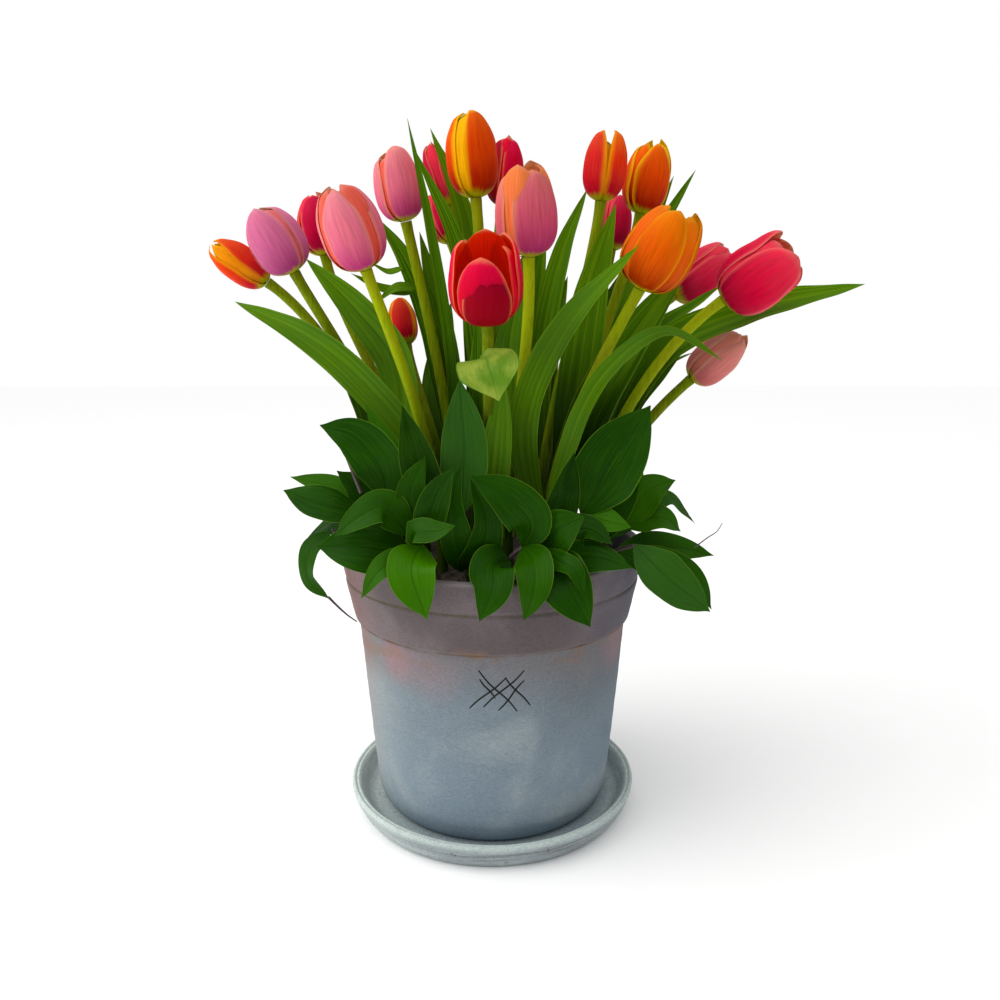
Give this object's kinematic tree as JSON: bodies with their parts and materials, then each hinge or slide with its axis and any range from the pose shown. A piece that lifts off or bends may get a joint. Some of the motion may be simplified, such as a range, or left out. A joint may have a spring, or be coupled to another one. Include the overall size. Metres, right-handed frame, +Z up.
{
  "type": "potted tulip",
  "caption": "Tulips in bloom with long leaves and a collar of broad pointed leaves, standing in soil in a tapered clay pot on a round saucer.",
  "frame": {"origin": "middle of the saucer's flat underside, which is what the part stands on", "axes": "+Z up along the pot's axis; -Y to the front, where the hatch mark is; +X to the right of someone facing the front"},
  "size_m": [0.5379, 0.3048, 0.5841],
  "materials": {
    "clay": "whitewashed, matt",
    "saucer_clay": "whitewashed, matt",
    "soil": "moist, crumbly",
    "stem_leaf": "satin, waxy green",
    "broad_leaf": "satin, deep green",
    "petal_flame": "satin orange red with yellow edges",
    "petal_mauve": "satin pink purple",
    "petal_crimson": "satin dark pink",
    "petal_pink": "satin pink",
    "petal_sunset": "satin orange with yellow streaks",
    "petal_red": "satin red",
    "petal_salmon": "satin salmon with orange",
    "petal_hotpink": "satin hot pink",
    "petal_orange": "satin orange with yellow edges",
    "petal_rose": "satin crimson pink"
  },
  "bodies": {
    "root": {"saucer": "saucer_clay", "pot": "clay", "soil": "soil", "tulip_plant_01": "stem_leaf", "tulip_bloom_01": "petal_flame", "tulip_plant_02": "stem_leaf", "tulip_bloom_02": "petal_mauve", "tulip_plant_03": "stem_leaf", "tulip_bloom_03": "petal_crimson", "tulip_plant_04": "stem_leaf", "tulip_bloom_04": "petal_pink", "tulip_plant_05": "stem_leaf", "tulip_bloom_05": "petal_pink", "tulip_plant_06": "stem_leaf", "tulip_bloom_06": "petal_crimson", "tulip_plant_07": "stem_leaf", "tulip_bloom_07": "petal_crimson", "tulip_plant_08": "stem_leaf", "tulip_bloom_08": "petal_sunset", "tulip_plant_09": "stem_leaf", "tulip_bloom_09": "petal_red", "tulip_plant_10": "stem_leaf", "tulip_bloom_10": "petal_salmon", "tulip_plant_11": "stem_leaf", "tulip_bloom_11": "petal_red", "tulip_plant_12": "stem_leaf", "tulip_bloom_12": "petal_flame", "tulip_plant_13": "stem_leaf", "tulip_bloom_13": "petal_hotpink", "tulip_plant_14": "stem_leaf", "tulip_bloom_14": "petal_sunset", "tulip_plant_15": "stem_leaf", "tulip_bloom_15": "petal_orange", "tulip_plant_16": "stem_leaf", "tulip_bloom_16": "petal_hotpink", "tulip_plant_17": "stem_leaf", "tulip_bloom_17": "petal_rose", "tulip_plant_18": "stem_leaf", "tulip_bloom_18": "petal_pink", "tulip_plant_19": "stem_leaf", "tulip_bloom_19": "petal_flame", "leaf_sprig_01": "broad_leaf", "leaf_sprig_02": "broad_leaf", "leaf_sprig_03": "broad_leaf", "leaf_sprig_04": "broad_leaf", "leaf_sprig_05": "broad_leaf", "leaf_sprig_06": "broad_leaf", "leaf_sprig_07": "broad_leaf", "leaf_sprig_08": "broad_leaf", "leaf_sprig_09": "broad_leaf", "leaf_sprig_10": "broad_leaf", "leaf_sprig_11": "broad_leaf", "leaf_sprig_12": "broad_leaf", "leaf_sprig_13": "broad_leaf", "leaf_sprig_14": "broad_leaf", "leaf_sprig_15": "broad_leaf", "leaf_sprig_16": "broad_leaf"}
  },
  "joints": []
}
